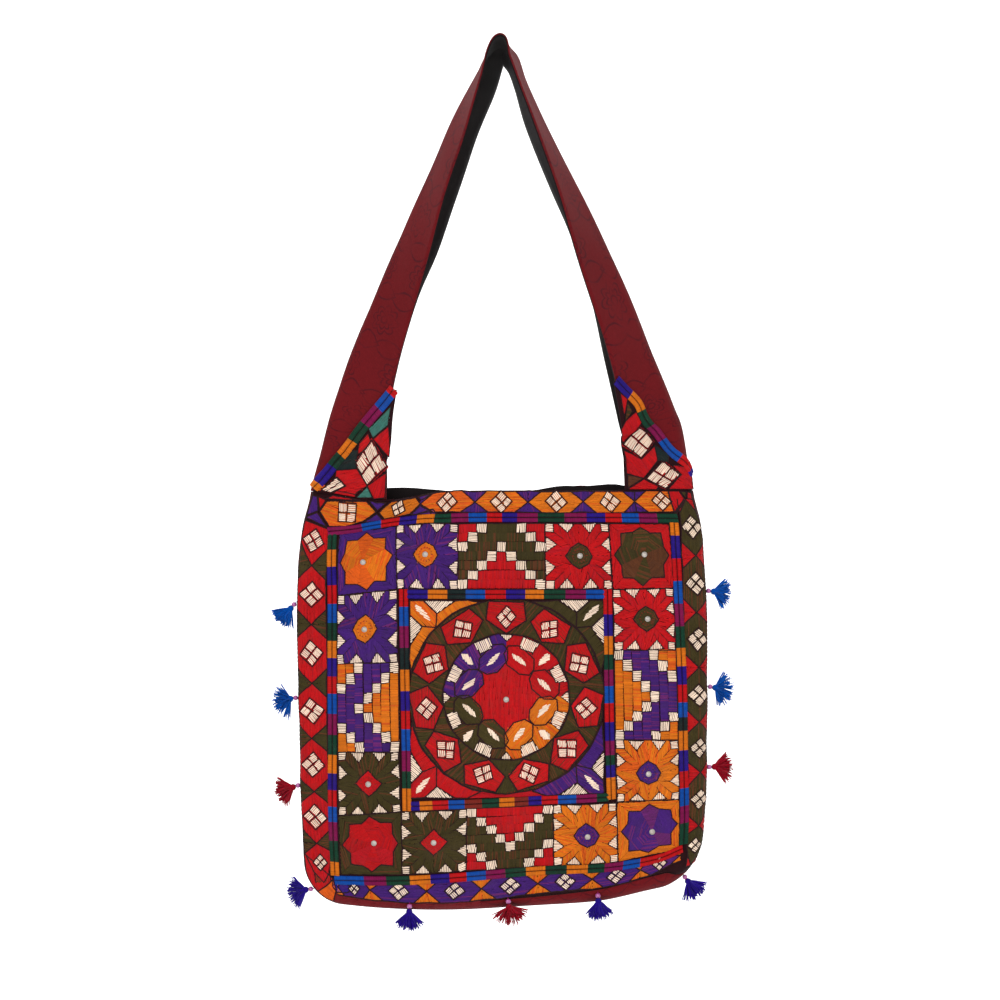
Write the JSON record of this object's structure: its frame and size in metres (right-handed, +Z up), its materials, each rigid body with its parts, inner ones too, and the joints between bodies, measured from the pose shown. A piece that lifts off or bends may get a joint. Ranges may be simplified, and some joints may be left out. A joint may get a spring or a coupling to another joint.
{
  "type": "embroidered cloth shoulder bag",
  "caption": "Flat open-topped cloth shoulder bag with a wide folded strap, a patchwork-embroidered front, braid frames and yarn tassels round its rim.",
  "frame": {"origin": "underside of the strap at its top, where a peg or a shoulder carries the bag", "axes": "+Z up, +X to the right seen from the embroidered front, which faces -Y"},
  "size_m": [0.4367, 0.0971, 0.8335],
  "materials": {
    "embroidery": "matte silk-like thread",
    "printed_cotton": "matte",
    "black_lining": "matte",
    "braid": "matte thread",
    "sequin": "dulled mirror",
    "blue_yarn": "matte yarn",
    "red_yarn": "matte yarn",
    "navy_yarn": "matte yarn",
    "bead": "gloss"
  },
  "bodies": {
    "root": {"front_panel": "embroidery", "back_panel": "printed_cotton", "gusset": "printed_cotton", "bag_lining": "black_lining", "strap": "printed_cotton", "strap_lining": "black_lining", "left_ear": "embroidery", "left_ear_braid": "braid", "right_ear": "embroidery", "right_ear_braid": "braid", "outer_braid": "braid", "inner_braid": "braid", "sequin_1": "sequin", "sequin_2": "sequin", "sequin_3": "sequin", "sequin_4": "sequin", "sequin_5": "sequin", "sequin_6": "sequin", "sequin_7": "sequin", "sequin_8": "sequin", "sequin_9": "sequin", "sequin_10": "sequin", "sequin_11": "sequin", "sequin_12": "sequin", "sequin_13": "sequin", "tassel_left_1": "blue_yarn", "bead_left_1": "bead", "tassel_left_2": "blue_yarn", "bead_left_2": "bead", "tassel_left_3": "red_yarn", "bead_left_3": "bead", "tassel_left_corner": "navy_yarn", "bead_left_corner": "bead", "tassel_bottom_1": "navy_yarn", "bead_bottom_1": "bead", "tassel_bottom_2": "red_yarn", "bead_bottom_2": "bead", "tassel_bottom_3": "navy_yarn", "bead_bottom_3": "bead", "tassel_right_corner": "navy_yarn", "bead_right_corner": "bead", "tassel_right_3": "red_yarn", "bead_right_3": "bead", "tassel_right_2": "blue_yarn", "bead_right_2": "bead", "tassel_right_1": "blue_yarn", "bead_right_1": "bead"}
  },
  "joints": []
}
